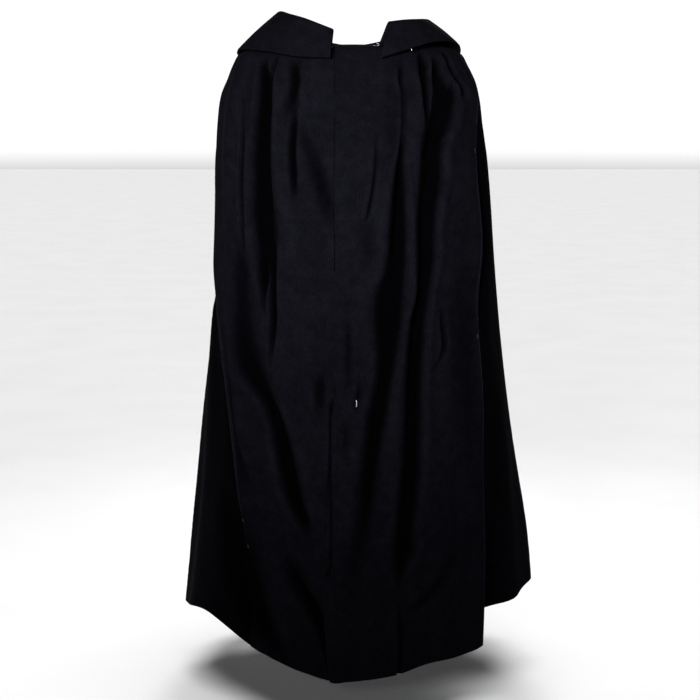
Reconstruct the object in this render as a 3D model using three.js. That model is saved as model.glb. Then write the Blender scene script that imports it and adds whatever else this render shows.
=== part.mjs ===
// A full-length wool cloak with a broad roll collar, in the shape that it takes when it is worn.
// Millimetres, +Z up. The front faces -Y and +X is the viewer's right.
// The origin is where the cloak is held up: the middle of the neck opening, level with the shoulders.
import * as THREE from 'three';

// Cloth
const CLOTH = 2.4;
const COLLAR_CLOTH = 4;
const GAP = 0.4;
const FOOT_GAP = 0.6;

// Front overlap: the wearer's left front lies over the right one, from OVERLAP_EDGE to UNDERLAP_EDGE
const OVERLAP_EDGE = -37;
const UNDERLAP_EDGE = 50;
const OVERLAP_COLUMNS = [OVERLAP_EDGE, -22, -8, 7, 22, 36, UNDERLAP_EDGE];
const OVERLAP_FULL = 58;
const OVERLAP_FADE = 40;
const FRONT_VENT_TOP = 0.6;
const FRONT_VENT_FLARE = 9;
const FRONT_VENT_SPREAD = 70;

// Side seams: each front's edge laps over the back's edge, and stands away from it along the arm slit
const LAP = 12;
const LAP_MARGIN = 3;
const LAP_FADE = 26;
const LAP_LIFT_FROM = 0.08;
const LAP_LIFT_BY = 0.105;
const LAP_FULL_BY = 0.17;
const SLIT_TOP = 0.19;
const SLIT_END = 0.49;
const SLIT_LIFT = { left: 5, right: 8 };
const SLIT_SINK = { left: 18, right: 18 };
const SLIT_SPREAD = 46;

// Hem vent in the right side seam: the back's corner falls inward behind the front's, and hangs higher
const HEM_VENT_TOP = 0.72;
const HEM_VENT_SINK = 66;
const HEM_VENT_RISE = 36;
const HEM_VENT_SPREAD = 150;

// Grid of the panels
const ROWS = [
  0, 0.012, 0.028, 0.048, LAP_LIFT_FROM, LAP_LIFT_BY, 0.135, LAP_FULL_BY, 0.21, 0.25, 0.3, 0.35, 0.4, 0.45,
  0.5, 0.56, 0.62, 0.68, 0.74, 0.8, 0.87, 0.935, 1,
];
const FRONT_FREE_COLUMNS = 21;
const BACK_GATHER_COLUMNS = [-0.8, 0, 0.8];
const BACK_END_COLUMNS = [0.2, 0.4, 0.6, 0.8];
const COLLAR_COLUMNS = 32;

// Metal fasteners
const WIRE = 1.6;
const HOOK_LENGTH = 11;
const BAR_HEIGHT = 13;
const BAR_WIRE = 2.4;
const BAR_STAND = 3.2;
const WIRE_SIDES = 8;

// Colours
const WOOL = { color: 0x14141a, roughness: 0.95, metalness: 0 };
const STEEL = { color: 0xb9bcc2, roughness: 0.35, metalness: 1 };

// The smooth form without folds, as rings from the neckline (at = 0) to the hem (at = 1). Left, right, front and
// back are half sizes about the ring's middle, which lies `middle` behind the origin. The heights are those of
// the ring's front, sides and back, and taper narrows the front between its middle and its sides.
const FORM = curves(
  ['at', 'left', 'right', 'front', 'back', 'middle', 'zFront', 'zSide', 'zBack', 'taper'],
  [
    [0.000, 109, 109, 92, 84, 0, 17, 10, 16, 0.00],
    [0.012, 146, 144, 106, 98, 0, 10, 19, 11, 0.00],
    [0.030, 190, 185, 122, 113, 0, -13, 17, -7, -0.03],
    [0.048, 223, 215, 133, 123, 0, -36, 5, -30, -0.05],
    [0.065, 236, 228, 141, 131, 0, -57, -17, -52, -0.06],
    [0.085, 247, 243, 148, 138, 0, -80, -47, -76, -0.06],
    [0.110, 257, 252, 154, 145, 0, -109, -81, -107, -0.06],
    [0.150, 264, 259, 161, 153, 0, -155, -129, -154, -0.05],
    [0.200, 269, 269, 167, 160, 0, -213, -192, -212, -0.04],
    [0.280, 271, 279, 174, 171, 0, -307, -286, -305, -0.02],
    [0.380, 274, 289, 182, 186, 2, -425, -409, -424, 0.01],
    [0.480, 287, 301, 191, 202, 6, -545, -530, -545, 0.05],
    [0.600, 302, 320, 205, 221, 13, -692, -683, -692, 0.10],
    [0.740, 318, 343, 225, 243, 23, -866, -864, -867, 0.16],
    [0.870, 337, 363, 245, 264, 34, -1031, -1016, -1032, 0.21],
    [1.000, 356, 379, 265, 285, 45, -1199, -1155, -1200, 0.25],
  ],
);

// Height of the hem around the cloak. Angles are in degrees from the centre front, positive to the viewer's right.
const HEM_FROM = 0.55;
const HEM = curves(
  ['angle', 'z'],
  [
    [-180, -1200], [-130, -1183], [-100, -1157], [-84, -1141], [-60, -1120], [-49, -1143], [-41, -1158],
    [-33, -1174], [-22, -1190], [-10, -1199], [0, -1199], [15, -1194], [30, -1181], [50, -1169], [62, -1122],
    [75, -1091], [90, -1085], [110, -1118], [140, -1177], [180, -1200],
  ],
);

// Where the side seams run
const SEAMS = curves(
  ['at', 'right', 'left'],
  [
    [0.000, 78.0, -88.0],
    [0.060, 77.0, -90.0],
    [0.130, 72.8, -90.0],
    [0.215, 64.5, -90.0],
    [0.340, 60.8, -86.0],
    [0.440, 58.0, -75.0],
    [0.510, 56.4, -66.5],
    [0.600, 57.0, -58.0],
    [0.730, 54.4, -50.5],
    [0.860, 51.8, -45.0],
    [1.000, 50.0, -41.0],
  ],
);

// Folds of the fronts. Each is a trough along a path of rows: way down, angle, depth and half width.
const FOLD_COLUMNS = ['at', 'angle', 'depth', 'width'];
const FRONT_FOLDS = [
  // From the left armhole down and across to the centre, where it runs out at the hem
  [
    [0.17, -52, 0, 10], [0.27, -50, 8, 12], [0.38, -49, 17, 15], [0.475, -43, 18, 16], [0.54, -34.5, 15, 18],
    [0.61, -30, 18, 20], [0.69, -26, 20, 21], [0.755, -21.5, 17, 19], [0.815, -16.5, 12, 17], [0.92, -11, 4, 14],
    [1, -9.5, 0, 12],
  ],
  // The deepest gather of the left front
  [
    [0, -54, 0, 9], [0.044, -48, 10, 11], [0.11, -39.5, 24, 15], [0.26, -38, 31, 18], [0.36, -38, 28, 18],
    [0.46, -37, 17, 15], [0.53, -35, 0, 13],
  ],
  // Short gather between it and the overlap
  [[0.004, -33, 0, 7], [0.034, -31, 8, 8], [0.104, -25, 16, 10], [0.18, -23.2, 14, 10], [0.25, -23, 0, 9]],
  // Soft pull towards the overlap
  [[0.12, -21, 0, 11], [0.165, -18, 7, 14], [0.225, -12.5, 9, 16], [0.305, -6.5, 0, 14]],
  // Small crease beside the overlap
  [[0.52, -13.2, 0, 7], [0.565, -13.5, 6, 9], [0.605, -13.5, 0, 7]],
  // First gather of the right front, which swings to the overlap and runs out there
  [
    [0.004, 31, 0, 5], [0.033, 26.5, 5, 6], [0.103, 21, 8, 7], [0.177, 19.5, 15, 9], [0.253, 18.5, 22, 12],
    [0.32, 17.2, 26, 15], [0.453, 15.5, 28, 20], [0.56, 12.5, 18, 22], [0.65, 9.5, 7, 24], [0.79, 4, 0, 24],
  ],
  // Second gather, nearly the whole length
  [
    [0.004, 50, 0, 8], [0.04, 41.5, 8, 9], [0.108, 33.2, 24, 12], [0.18, 33.2, 30, 14], [0.257, 31.8, 30, 15],
    [0.425, 28.2, 28, 15], [0.58, 25.5, 26, 16], [0.66, 24.2, 24, 17], [0.82, 19.5, 11, 16], [0.9, 17, 5, 15],
    [1, 15, 0, 14],
  ],
  // Branch that joins it below the collar
  [[0.02, 54, 0, 8], [0.052, 49.2, 7, 9], [0.099, 45.5, 13, 10], [0.136, 41.8, 10, 10], [0.2, 35.2, 0, 9]],
  // Crease over the right shoulder
  [[0.02, 59, 0, 7], [0.045, 58.5, 4, 8], [0.07, 59, 8, 8], [0.106, 63.5, 7, 8], [0.14, 66, 0, 8]],
  // Crease below the right elbow
  [[0.44, 35.8, 0, 7], [0.475, 36, 7, 9], [0.515, 35.5, 6, 9], [0.55, 34.5, 0, 7]],
];

// Gathers of the back, from the neckline down: angles at the neck and at the hem, depth, half width and the
// way down at which each runs out
const BACK_GATHERS = [
  { neck: 100, hem: 92, depth: 16, width: 22, end: 1.3 },
  { neck: 118, hem: 113, depth: 30, width: 25, end: 1.4 },
  { neck: 134, hem: 131, depth: 20, width: 17, end: 0.76 },
  { neck: 151, hem: 148, depth: 35, width: 26, end: 1.5 },
  { neck: 167, hem: 166, depth: 20, width: 15, end: 0.6 },
  { neck: 183, hem: 180, depth: 33, width: 25, end: 1.4 },
  { neck: 200, hem: 203, depth: 24, width: 18, end: 0.84 },
  { neck: 216, hem: 219, depth: 37, width: 26, end: 1.5 },
  { neck: 232, hem: 236, depth: 21, width: 17, end: 0.7 },
  { neck: 250, hem: 257, depth: 26, width: 24, end: 1.4 },
];

// The collar's roll and lower edge, followed from its front end on the left round the back to the right
const COLLAR_START = 20.5;
const COLLAR_END = 333.5;
const COLLAR = curves(
  ['turn', 'rollX', 'rollY', 'rollZ', 'edgeX', 'edgeY', 'edgeZ'],
  [
    [COLLAR_START, -36, -106, 45, -42, -136, -8],
    [40, -89, -88, 66, -104, -122, -5],
    [62, -121, -58, 77, -165, -95, 3],
    [90, -140, -12, 85, -227, -12, 8],
    [115, -137, 34, 79, -222, 52, -7],
    [140, -112, 78, 54, -169, 106, -46],
    [160, -60, 103, 34, -90, 141, -73],
    [180, 0, 112, 25, 0, 151, -82],
    [200, 60, 103, 33, 90, 141, -72],
    [220, 111, 78, 49, 163, 106, -42],
    [245, 139, 32, 64, 214, 48, 2],
    [270, 146, -14, 69, 209, -13, 20],
    [298, 122, -60, 67, 156, -89, 22],
    [318, 95, -84, 64, 106, -119, 6],
    [COLLAR_END, 68, -96, 60, 51, -135, -9],
  ],
);
const ROLL_RADIUS = 8;
const FALL_BULGE = 3;
const STAND_STEPS = 3;
const ROLL_STEPS = 5;
const FALL_STEPS = 5;

// Smooth curves through the rows of a table: one function of the first column for each other column
function curves(names, rows) {
  const xs = rows.map((row) => row[0]);
  const found = { first: xs[0], last: xs[xs.length - 1] };
  names.slice(1).forEach((name, i) => {
    const ys = rows.map((row) => row[i + 1]);
    found[name] = (x) => curveThrough(xs, ys, x);
  });
  return found;
}

function curveThrough(xs, ys, wanted) {
  const last = xs.length - 1;
  const x = Math.min(Math.max(wanted, xs[0]), xs[last]);
  let i = 0;
  while (i < last - 1 && x >= xs[i + 1]) {
    i += 1;
  }
  const step = xs[i + 1] - xs[i];
  const t = (x - xs[i]) / step;
  const startSlope = slopeAt(xs, ys, i) * step;
  const endSlope = slopeAt(xs, ys, i + 1) * step;
  const rise = ys[i + 1] - ys[i];
  const bend = startSlope + endSlope - 2 * rise;
  return ys[i] + t * (startSlope + t * (rise - startSlope - bend + t * bend));
}

function slopeAt(xs, ys, i) {
  const before = i > 0 ? (ys[i] - ys[i - 1]) / (xs[i] - xs[i - 1]) : null;
  const after = i < xs.length - 1 ? (ys[i + 1] - ys[i]) / (xs[i + 1] - xs[i]) : null;
  if (before === null || after === null) {
    return before === null ? after : before;
  }
  const share = (xs[i] - xs[i - 1]) / (xs[i + 1] - xs[i - 1]);
  return before * (1 - share) + after * share;
}

function ease(t) {
  const clamped = THREE.MathUtils.clamp(t, 0, 1);
  return clamped * clamped * (3 - 2 * clamped);
}

// Angle between -180 and 180 degrees
function wrap(angle) {
  return THREE.MathUtils.euclideanModulo(angle + 180, 360) - 180;
}

// Point of the smooth form
function formPoint(angle, at) {
  const turn = THREE.MathUtils.degToRad(angle);
  const side = Math.sin(turn);
  const ahead = Math.cos(turn);
  const forward = ahead > 0;
  const half = side < 0 ? FORM.left(at) : FORM.right(at);
  const narrow = forward ? FORM.taper(at) * ahead * ahead : 0;
  const middle = FORM.middle(at);
  const depth = forward ? FORM.front(at) + middle : FORM.back(at) - middle;
  const levelOf = (place) => {
    const sideLevel = FORM.zSide(place);
    const endLevel = forward ? FORM.zFront(place) : FORM.zBack(place);
    return sideLevel + (endLevel - sideLevel) * ahead * ahead;
  };
  const hemChange = (HEM.z(wrap(angle)) - levelOf(1)) * ease((at - HEM_FROM) / (1 - HEM_FROM));
  return new THREE.Vector3(half * side * (1 - narrow), middle - depth * ahead, levelOf(at) + hemChange);
}

const ANGLE_STEP = 0.25;
const ROW_STEP = 0.002;

// Outward normal of a surface given as a function of angle and way down
function normalOf(surface, angle, at) {
  const low = Math.max(at - ROW_STEP, 0);
  const high = Math.min(at + ROW_STEP, 1);
  const around = surface(angle + ANGLE_STEP, at).sub(surface(angle - ANGLE_STEP, at));
  const down = surface(angle, high).sub(surface(angle, low));
  return down.cross(around).normalize();
}

// Length of the form per degree, measured round the body
function mmPerDegree(angle, at) {
  return formPoint(angle + ANGLE_STEP, at).distanceTo(formPoint(angle - ANGLE_STEP, at)) / (2 * ANGLE_STEP);
}

const FRONT_REACH = 80;
const HALVINGS = 30;

// Angle at which the front of the form passes a given X
function angleAtX(x, at) {
  let low = -FRONT_REACH;
  let high = FRONT_REACH;
  for (let i = 0; i < HALVINGS; i += 1) {
    const middle = (low + high) / 2;
    if (formPoint(middle, at).x < x) {
      low = middle;
    } else {
      high = middle;
    }
  }
  return (low + high) / 2;
}

const FRONT_TROUGHS = FRONT_FOLDS.map((rows) => {
  const path = curves(FOLD_COLUMNS, rows);
  return (at) => {
    if (at < path.first || at > path.last) {
      return null;
    }
    return { angle: path.angle(at), depth: Math.max(path.depth(at), 0), width: path.width(at) };
  };
});

// A gather of the back starts below the neckline, and is shallower and narrower near it than lower down
const GATHER_START_BY = 0.3;
const GATHER_RUN_OUT = 0.4;
const GATHER_DEPTH = { atNeck: 0.35, fullBy: 0.6 };
const GATHER_WIDTH = { atNeck: 0.4, fullBy: 0.5 };

function grownShare(growth, at) {
  return growth.atNeck + (1 - growth.atNeck) * ease(at / growth.fullBy);
}

const BACK_TROUGHS = BACK_GATHERS.map((gather) => (at) => {
  const reached = ease(at / GATHER_START_BY) * ease((gather.end - at) / GATHER_RUN_OUT);
  return {
    angle: THREE.MathUtils.lerp(gather.neck, gather.hem, at),
    depth: gather.depth * reached * grownShare(GATHER_DEPTH, at),
    width: gather.width * grownShare(GATHER_WIDTH, at),
  };
});

const RIDGE_HEIGHT = 0.16;
const RIDGE_PLACE = 2.1;
const RIDGE_WIDTH = 0.8;

// The troughs that reach a way down, each with its length round the body per degree
function troughsAt(at) {
  return [...FRONT_TROUGHS, ...BACK_TROUGHS].flatMap((trough) => {
    const place = trough(at);
    return place ? [{ ...place, scale: mmPerDegree(place.angle, at) }] : [];
  });
}

const rowTroughs = new Map();

function troughsInRow(at) {
  if (!rowTroughs.has(at)) {
    rowTroughs.set(at, troughsAt(at));
  }
  return rowTroughs.get(at);
}

// How far the folds take the cloth inward from the form, with a low ridge at each trough's lips
function foldDepth(angle, at) {
  let depth = 0;
  for (const trough of troughsInRow(at)) {
    const reach = Math.abs(wrap(angle - trough.angle) * trough.scale) / trough.width;
    const lip = (reach - RIDGE_PLACE) / RIDGE_WIDTH;
    depth += trough.depth * (Math.exp(-reach * reach) - RIDGE_HEIGHT * Math.exp(-lip * lip));
  }
  return depth;
}

function clothPoint(angle, at) {
  const inward = normalOf(formPoint, angle, at).multiplyScalar(-foldDepth(angle, at));
  return formPoint(angle, at).add(inward);
}

const SPREAD_STEPS = 240;
const CROWDING = 2.2;
const CROWDING_REACH = 1.9;
const CROWDED_DEPTH = 14;

// Angles of the columns between two angles in one row, closer together at the folds
function spreadAngles(from, to, count, at) {
  const angles = Array.from({ length: SPREAD_STEPS + 1 }, (_, i) =>
    THREE.MathUtils.lerp(from, to, i / SPREAD_STEPS),
  );
  const sums = [0];
  for (let i = 0; i < SPREAD_STEPS; i += 1) {
    const angle = (angles[i] + angles[i + 1]) / 2;
    let crowding = 1;
    for (const trough of troughsInRow(at)) {
      const reach = (wrap(angle - trough.angle) * trough.scale) / (CROWDING_REACH * trough.width);
      crowding += CROWDING * Math.min(trough.depth / CROWDED_DEPTH, 1) * Math.exp(-reach * reach);
    }
    sums.push(sums[i] + crowding * mmPerDegree(angle, at));
  }
  return Array.from({ length: count }, (_, i) => {
    const wanted = (sums[SPREAD_STEPS] * (i + 1)) / (count + 1);
    let k = 0;
    while (sums[k + 1] < wanted) {
      k += 1;
    }
    return THREE.MathUtils.lerp(angles[k], angles[k + 1], (wanted - sums[k]) / (sums[k + 1] - sums[k]));
  });
}

// Angles of the back's columns between two angles in one row: each gather keeps its own, with one between gathers
// and evenly spaced ones out to the two seams
function gatherAngles(from, to, at) {
  const groups = BACK_TROUGHS.map((trough) => {
    const place = trough(at);
    const scale = mmPerDegree(place.angle, at);
    return BACK_GATHER_COLUMNS.map((side) => place.angle + (side * place.width) / scale);
  });
  const first = groups[0][0];
  const last = groups[groups.length - 1][BACK_GATHER_COLUMNS.length - 1];
  const inner = groups.flatMap((group, i) => {
    const before = i > 0 ? groups[i - 1][BACK_GATHER_COLUMNS.length - 1] : null;
    return before === null ? group : [(before + group[0]) / 2, ...group];
  });
  const rightEnd = BACK_END_COLUMNS.map((share) => THREE.MathUtils.lerp(from, first, share));
  const leftEnd = BACK_END_COLUMNS.map((share) => THREE.MathUtils.lerp(last, to, share));
  return [...rightEnd, ...inner, ...leftEnd];
}

// Places along a side seam in one row: the front's edge, the back's edge and where the lap has ended
function seamPlaces(side, at) {
  const sign = side === 'right' ? 1 : -1;
  const edge = SEAMS[side](at);
  const scale = mmPerDegree(edge, at);
  const grown = ease((at - LAP_LIFT_BY) / (LAP_FULL_BY - LAP_LIFT_BY));
  const lap = THREE.MathUtils.lerp(-GAP, LAP, grown);
  return {
    frontEdge: edge,
    backEdge: edge - (sign * lap) / scale,
    lapEnd: edge - (sign * (LAP + LAP_MARGIN)) / scale,
    inFromEdge: (angle) => Math.abs(wrap(angle - edge)) * scale,
  };
}

const SLIT_FULLNESS = 0.7;

// How wide open the arm slit is in one row, 0 to 1
function slitOpening(at) {
  const t = (at - SLIT_TOP) / (SLIT_END - SLIT_TOP);
  return t > 0 && t < 1 ? Math.sin(Math.PI * t) ** SLIT_FULLNESS : 0;
}

// How far a front lies above the cloth beneath its side seam
function sideLift(side, angle, at) {
  const inward = seamPlaces(side, at).inFromEdge(angle);
  const layer = (CLOTH + GAP) * ease((at - LAP_LIFT_FROM) / (LAP_LIFT_BY - LAP_LIFT_FROM));
  const lap = layer * (1 - ease((inward - LAP - LAP_MARGIN) / LAP_FADE));
  return lap + SLIT_LIFT[side] * slitOpening(at) * (1 - ease(inward / SLIT_SPREAD));
}

function overlapLift(angle, at) {
  const x = formPoint(angle, at).x;
  const layer = (CLOTH + GAP) * (1 - ease((x - OVERLAP_FULL) / OVERLAP_FADE));
  const flare = FRONT_VENT_FLARE * ease((at - FRONT_VENT_TOP) / (1 - FRONT_VENT_TOP));
  return layer + flare * (1 - ease((x - OVERLAP_EDGE) / FRONT_VENT_SPREAD));
}

// How far the back lies below the fronts near its two edges
function backSink(angle, at) {
  const right = seamPlaces('right', at).inFromEdge(angle);
  const left = seamPlaces('left', at).inFromEdge(angle);
  const slit = slitOpening(at);
  const vent = HEM_VENT_SINK * ease((at - HEM_VENT_TOP) / (1 - HEM_VENT_TOP));
  return (
    SLIT_SINK.right * slit * (1 - ease(right / SLIT_SPREAD)) +
    SLIT_SINK.left * slit * (1 - ease(left / SLIT_SPREAD)) +
    vent * (1 - ease(right / HEM_VENT_SPREAD))
  );
}

function backRise(angle, at) {
  const right = seamPlaces('right', at).inFromEdge(angle);
  const down = ease((at - HEM_VENT_TOP) / (1 - HEM_VENT_TOP));
  return HEM_VENT_RISE * down * (1 - ease(right / HEM_VENT_SPREAD));
}

// Outer faces of the three panels
function liftedPoint(lift) {
  return (angle, at) => {
    const out = normalOf(clothPoint, angle, at).multiplyScalar(lift(angle, at));
    return clothPoint(angle, at).add(out);
  };
}

const frontRightPoint = liftedPoint((angle, at) => overlapLift(angle, at) + sideLift('right', angle, at));
const frontLeftPoint = liftedPoint((angle, at) => sideLift('left', angle, at));
const sunkPoint = liftedPoint((angle, at) => -backSink(angle, at));
const UP = new THREE.Vector3(0, 0, 1);

function backPoint(angle, at) {
  return sunkPoint(angle, at).addScaledVector(UP, backRise(angle, at));
}

// Angles of each panel's columns in one row
function frontRightAngles(at) {
  const seam = seamPlaces('right', at);
  const overlap = [...OVERLAP_COLUMNS, OVERLAP_FULL].map((x) => angleAtX(x, at));
  const free = spreadAngles(overlap[overlap.length - 1], seam.lapEnd, FRONT_FREE_COLUMNS, at);
  return [...overlap, ...free, seam.lapEnd, lapStart(seam, at), seam.frontEdge];
}

function frontLeftAngles(at) {
  const seam = seamPlaces('left', at);
  const overlap = OVERLAP_COLUMNS.map((x) => angleAtX(x, at));
  const free = spreadAngles(seam.lapEnd, overlap[0], FRONT_FREE_COLUMNS, at);
  return [seam.frontEdge, lapStart(seam, at), seam.lapEnd, ...free, ...overlap];
}

function backAngles(at) {
  const right = seamPlaces('right', at);
  const left = seamPlaces('left', at);
  const fromRight = lapped(at) ? [right.backEdge, right.frontEdge] : [right.backEdge, beyond(right)];
  const toLeft = lapped(at) ? [left.frontEdge, left.backEdge] : [beyond(left), left.backEdge];
  const ends = toLeft.map((angle) => angle + 360);
  return [...fromRight, ...gatherAngles(fromRight[1], ends[0], at), ...ends];
}

function lapped(at) {
  return at > LAP_LIFT_BY;
}

// The column that both panels share inside the lap, or a plain one where the edges only meet
function lapStart(seam, at) {
  return lapped(at) ? seam.backEdge : (seam.frontEdge + seam.lapEnd) / 2;
}

function beyond(seam) {
  return seam.backEdge + (seam.frontEdge - seam.lapEnd) * 0.5;
}

// A closed sheet between an outer and an inner grid of points
function sheetGeometry(outer, inner) {
  const rows = outer.length;
  const columns = outer[0].length;
  const points = [...outer.flat(), ...inner.flat()];
  const outerAt = (i, j) => i * columns + j;
  const innerAt = (i, j) => rows * columns + i * columns + j;
  const faces = [];
  const quad = (a, b, c, d) => faces.push(a, b, c, a, c, d);
  for (let i = 0; i < rows - 1; i += 1) {
    for (let j = 0; j < columns - 1; j += 1) {
      quad(outerAt(i, j), outerAt(i + 1, j), outerAt(i + 1, j + 1), outerAt(i, j + 1));
      quad(innerAt(i, j), innerAt(i, j + 1), innerAt(i + 1, j + 1), innerAt(i + 1, j));
    }
    const last = columns - 1;
    quad(outerAt(i, 0), innerAt(i, 0), innerAt(i + 1, 0), outerAt(i + 1, 0));
    quad(outerAt(i, last), outerAt(i + 1, last), innerAt(i + 1, last), innerAt(i, last));
  }
  for (let j = 0; j < columns - 1; j += 1) {
    const last = rows - 1;
    quad(outerAt(0, j), outerAt(0, j + 1), innerAt(0, j + 1), innerAt(0, j));
    quad(outerAt(last, j), innerAt(last, j), innerAt(last, j + 1), outerAt(last, j + 1));
  }
  const geometry = new THREE.BufferGeometry();
  geometry.setAttribute('position', new THREE.Float32BufferAttribute(points.flatMap((p) => p.toArray()), 3));
  geometry.setIndex(faces);
  geometry.computeVertexNormals();
  return geometry;
}

function panelGeometry(anglesInRow, outerPoint) {
  const outer = ROWS.map((at) => anglesInRow(at).map((angle) => outerPoint(angle, at)));
  const inner = ROWS.map((at, i) =>
    anglesInRow(at).map((angle, j) => {
      const through = normalOf(clothPoint, angle, at).multiplyScalar(-CLOTH);
      return outer[i][j].clone().add(through);
    }),
  );
  return sheetGeometry(outer, inner);
}

// The collar's section at one turn, as the middle of its cloth from the foot over the roll to the edge
function collarFoot(turn) {
  const angle = wrap(-turn);
  const panel = angle > 0 ? frontRightPoint : frontLeftPoint;
  const isFront = angle < SEAMS.right(0) && angle > SEAMS.left(0);
  const surface = isFront ? panel : backPoint;
  const neck = surface(angle, ROWS[0]);
  const next = surface(angle, ROWS[1]);
  const out = next.clone().sub(neck).normalize();
  const up = normalOf(clothPoint, angle, ROWS[0]).multiplyScalar(FOOT_GAP);
  return { inner: neck.clone().add(up), outer: neck.clone().add(up).addScaledVector(out, COLLAR_CLOTH) };
}

function collarMiddle(turn) {
  const foot = collarFoot(turn);
  const start = foot.inner.clone().lerp(foot.outer, 0.5);
  const roll = new THREE.Vector3(COLLAR.rollX(turn), COLLAR.rollY(turn), COLLAR.rollZ(turn));
  const edge = new THREE.Vector3(COLLAR.edgeX(turn), COLLAR.edgeY(turn), COLLAR.edgeZ(turn));
  const rising = roll.clone().sub(start).normalize();
  const falling = edge.clone().sub(roll).normalize();
  const crest = rising.clone().sub(falling).normalize();
  const onward = rising.clone().add(falling).normalize();
  const halfTurn = rising.angleTo(falling) / 2;
  const arc = Array.from({ length: ROLL_STEPS + 1 }, (_, i) => {
    const turned = THREE.MathUtils.lerp(-halfTurn, halfTurn, i / ROLL_STEPS);
    return roll
      .clone()
      .addScaledVector(crest, ROLL_RADIUS * (Math.cos(turned) - 1))
      .addScaledVector(onward, ROLL_RADIUS * Math.sin(turned));
  });
  const stand = Array.from({ length: STAND_STEPS }, (_, i) => start.clone().lerp(arc[0], i / STAND_STEPS));
  const out = new THREE.Vector3(edge.x, edge.y, 0).normalize();
  const fall = Array.from({ length: FALL_STEPS }, (_, i) => {
    const t = (i + 1) / FALL_STEPS;
    return arc[ROLL_STEPS].clone().lerp(edge, t).addScaledVector(out, FALL_BULGE * Math.sin(Math.PI * t));
  });
  return [...stand, ...arc, ...fall];
}

function collarGeometry() {
  const turns = Array.from({ length: COLLAR_COLUMNS }, (_, i) =>
    THREE.MathUtils.lerp(COLLAR_END, COLLAR_START, i / (COLLAR_COLUMNS - 1)),
  );
  const middle = turns.map(collarMiddle);
  const faceAt = (column, row, side) => {
    if (row === 0) {
      const foot = collarFoot(turns[column]);
      return side > 0 ? foot.inner : foot.outer;
    }
    const before = middle[Math.max(column - 1, 0)][row];
    const after = middle[Math.min(column + 1, turns.length - 1)][row];
    const above = middle[column][Math.max(row - 1, 0)];
    const below = middle[column][Math.min(row + 1, middle[column].length - 1)];
    const across = after.clone().sub(before);
    const along = below.clone().sub(above);
    const normal = along.cross(across).normalize();
    return middle[column][row].clone().addScaledVector(normal, (side * COLLAR_CLOTH) / 2);
  };
  const gridOf = (side) => middle[0].map((_, row) => turns.map((__, column) => faceAt(column, row, side)));
  return sheetGeometry(gridOf(1), gridOf(-1));
}

// A bent wire along a path of points
function wireGeometry(points, thickness, steps) {
  const section = new THREE.Shape();
  for (let i = 0; i < WIRE_SIDES; i += 1) {
    const turn = (2 * Math.PI * i) / WIRE_SIDES;
    const place = [(Math.cos(turn) * thickness) / 2, (Math.sin(turn) * thickness) / 2];
    if (i === 0) {
      section.moveTo(...place);
    } else {
      section.lineTo(...place);
    }
  }
  const path = new THREE.CatmullRomCurve3(points.map((p) => new THREE.Vector3(...p)));
  return new THREE.ExtrudeGeometry(section, { steps, bevelEnabled: false, extrudePath: path });
}

// Hook of bent wire: its feet lie on the cloth (z = 0) and its bill turns back over them
function hookGeometry() {
  const lie = WIRE / 2 + GAP;
  return wireGeometry(
    [
      [-HOOK_LENGTH / 2, -2.4, lie],
      [-HOOK_LENGTH / 4, -1.6, lie],
      [HOOK_LENGTH / 4, 0, lie],
      [HOOK_LENGTH / 2, 0, lie + 1.5],
      [HOOK_LENGTH / 3, 0, lie + 3.2],
      [0, 0, lie + 3.4],
    ],
    WIRE,
    20,
  );
}

// Upright bar of bent wire that stands off the cloth between its two feet
function barGeometry() {
  const low = BAR_WIRE / 2 + GAP;
  const half = BAR_HEIGHT / 2;
  return wireGeometry(
    [
      [-half, 0, low],
      [-half * 0.8, 0, BAR_STAND],
      [0, 0, BAR_STAND + 0.6],
      [half * 0.8, 0, BAR_STAND],
      [half, 0, low],
    ],
    BAR_WIRE,
    18,
  );
}

// Puts a piece whose own X runs along a direction and whose own Z points out of the cloth
function settle(mesh, place, along, out) {
  const z = out.clone().normalize();
  const y = new THREE.Vector3().crossVectors(z, along).normalize();
  const x = new THREE.Vector3().crossVectors(y, z);
  mesh.quaternion.setFromRotationMatrix(new THREE.Matrix4().makeBasis(x, y, z));
  mesh.position.copy(place);
  return mesh;
}

function piece(name, geometry, look) {
  const mesh = new THREE.Mesh(geometry, new THREE.MeshStandardMaterial(look));
  mesh.name = name;
  return mesh;
}

const NECK_HOOK = { x: 45, at: 0.008 };
const FRONT_BAR = { x: 3, at: 0.575 };
const COLLAR_HOOK = { turn: 315.5, inside: 2.5 };

function onFront(mesh, spot, along) {
  const angle = angleAtX(spot.x, spot.at);
  return settle(mesh, frontRightPoint(angle, spot.at), along, normalOf(frontRightPoint, angle, spot.at));
}

function onCollar(mesh, spot) {
  const here = collarMiddle(spot.turn);
  const edge = here.at(-1);
  const along = collarMiddle(spot.turn + 2).at(-1).sub(edge);
  const down = edge.clone().sub(here.at(-2)).normalize();
  const under = along.cross(down).normalize();
  if (under.y < 0) {
    under.negate();
  }
  const place = edge.clone().addScaledVector(down, -spot.inside);
  return settle(mesh, place.addScaledVector(under, COLLAR_CLOTH / 2 + GAP), down, under);
}

const cloak = new THREE.Group();
cloak.add(
  piece('front_left', panelGeometry(frontLeftAngles, frontLeftPoint), WOOL),
  piece('front_right', panelGeometry(frontRightAngles, frontRightPoint), WOOL),
  piece('back', panelGeometry(backAngles, backPoint), WOOL),
  piece('collar', collarGeometry(), WOOL),
  onFront(piece('neck_hook', hookGeometry(), STEEL), NECK_HOOK, new THREE.Vector3(1, 0, 0)),
  onFront(piece('front_bar', barGeometry(), STEEL), FRONT_BAR, UP),
  onCollar(piece('collar_hook', hookGeometry(), STEEL), COLLAR_HOOK),
);

export default cloak;
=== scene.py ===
import math

import bpy
import numpy as np
from mathutils import Matrix, Vector


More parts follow.
